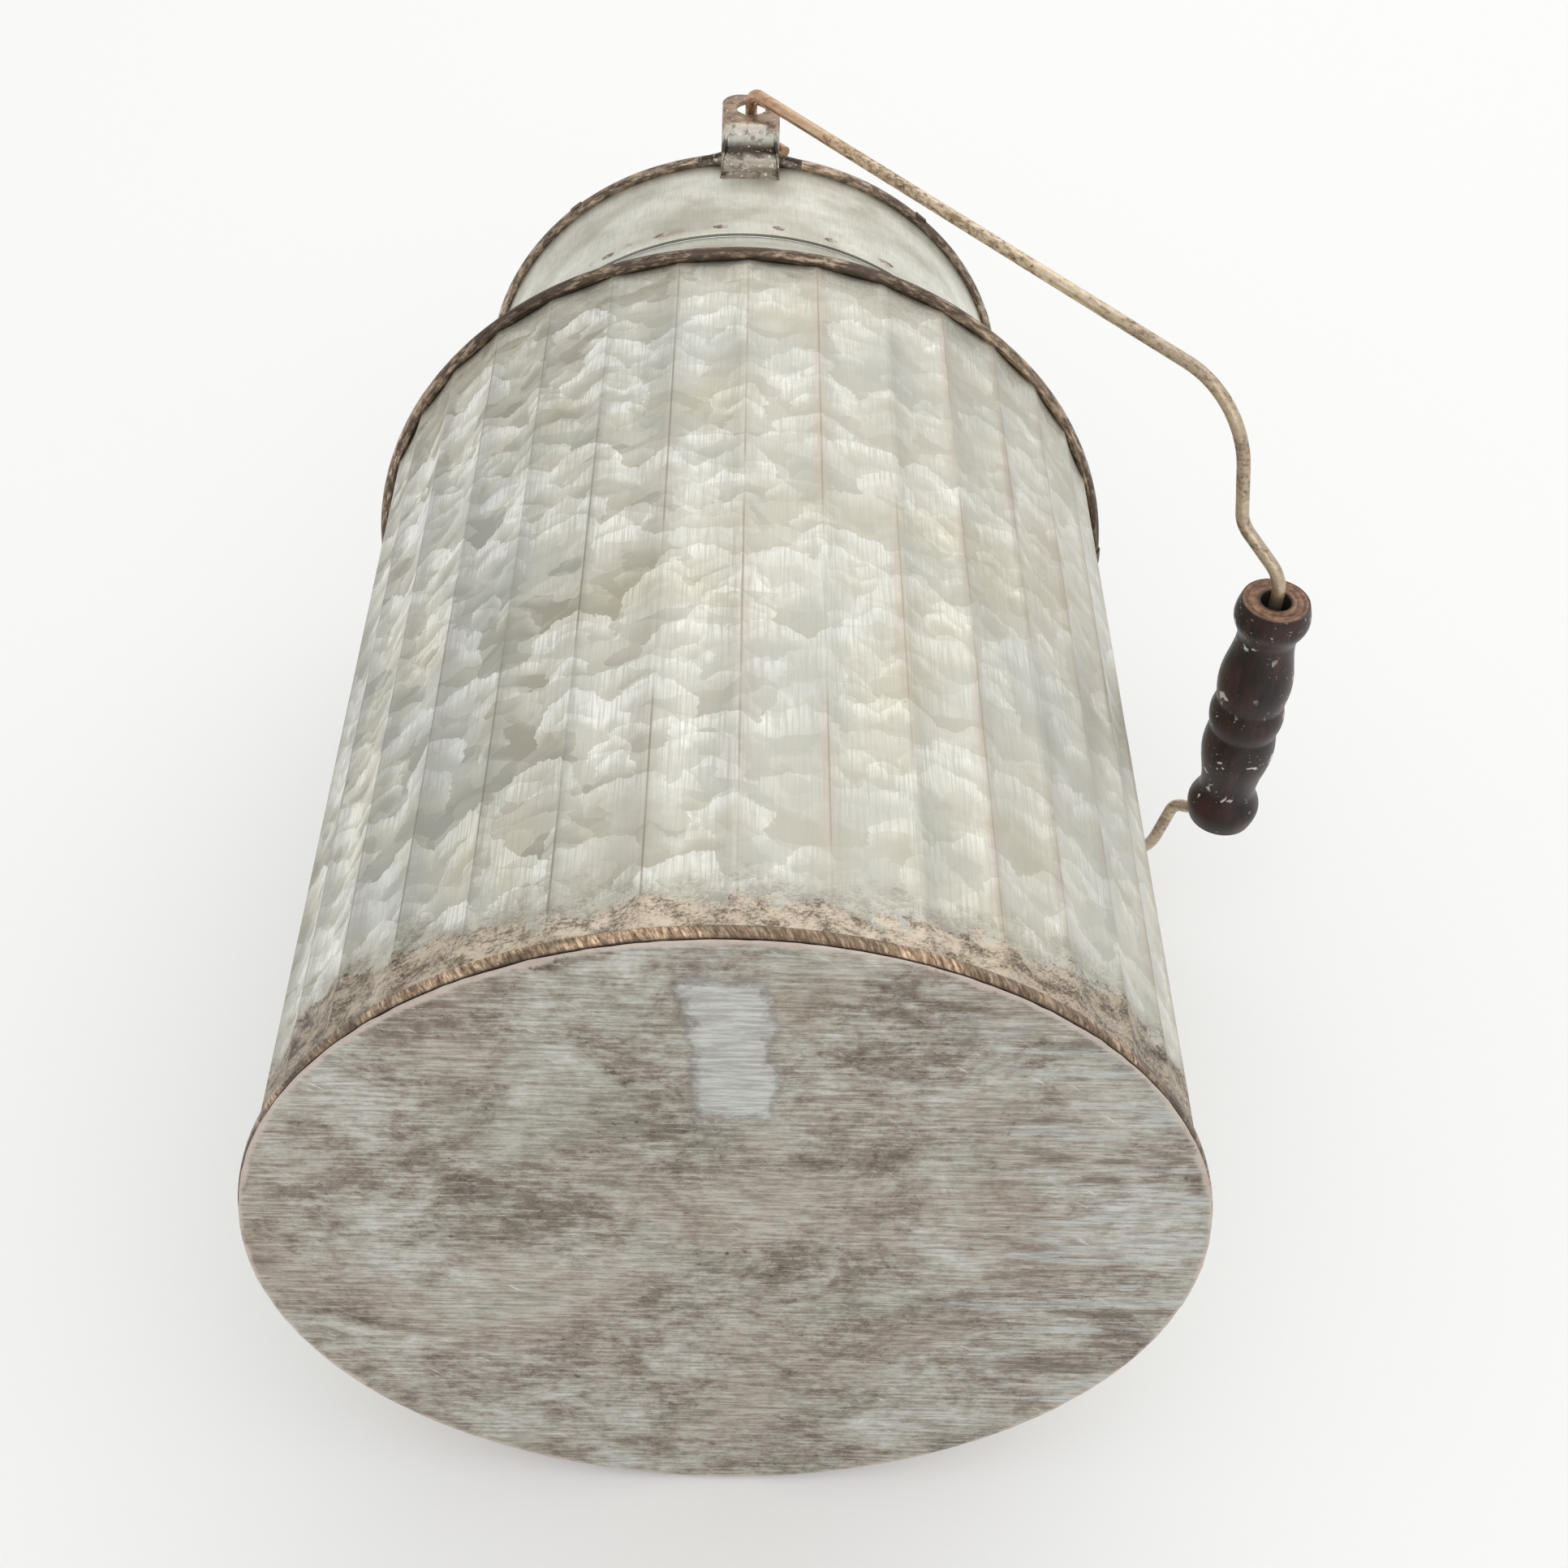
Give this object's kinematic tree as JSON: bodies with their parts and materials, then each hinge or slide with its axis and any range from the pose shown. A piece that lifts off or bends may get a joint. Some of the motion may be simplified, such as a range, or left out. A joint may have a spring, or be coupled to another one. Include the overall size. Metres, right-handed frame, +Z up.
{
  "type": "milk pail",
  "caption": "Fluted galvanised pail with a sloping shoulder, upright wired mouth, two bent ears and a swinging wire bail with a turned wooden grip.",
  "frame": {"origin": "centre of the flat underside", "axes": "+Z up the pail's axis; the bail swings about the Y axis direction through the two ears at -Y and +Y, and is stored swung down on the +X side"},
  "size_m": [0.2848, 0.2326, 0.3874],
  "materials": {
    "galvanised_body": "aged galvanised sheet with large spangles and brown patina at the edges",
    "galvanised_collar": "smooth dull galvanised sheet",
    "aged_base": "blue-grey zinc with brown mottling and fine brush lines",
    "bronze_hem": "brushed bronze patina",
    "aged_wire": "aged wire with brown and copper tints",
    "aged_ear": "aged strap with worn edges",
    "bail_wire": "aged round wire",
    "dark_wood": "near-black varnish, chipped, bare wood on the end faces"
  },
  "bodies": {
    "pail": {"bottom_disc": "aged_base", "base_hem": "bronze_hem", "body_shell": "galvanised_body", "body_seam": "galvanised_body", "shoulder_bead": "aged_wire", "bead_joint": "aged_wire", "shoulder_skirt": "galvanised_body", "shoulder": "galvanised_body", "neck": "galvanised_body", "collar": "galvanised_collar", "collar_spot_welds": "galvanised_collar", "rim_front": "aged_wire", "rim_back": "aged_wire", "rim_left": "aged_wire", "rim_right": "aged_wire", "rim_joints": "aged_wire", "ear_front": "aged_ear", "ear_back": "aged_ear", "ear_front_solder": "aged_ear", "ear_back_solder": "aged_ear"},
    "bail": {"bail": "bail_wire"},
    "grip": {"grip": "dark_wood"}
  },
  "joints": [
    {"name": "bail_swing", "type": "hinge", "parent": "pail", "child": "bail", "pos_m": [0, 0, 0.3785], "axis": [0, -1, 0], "range_deg": [-9.4, 287.4]},
    {"name": "grip_spin", "type": "hinge", "parent": "bail", "child": "grip", "pos_m": [0.15713, 0.004, 0.19775], "axis": [0, 1, 0], "continuous": true}
  ]
}
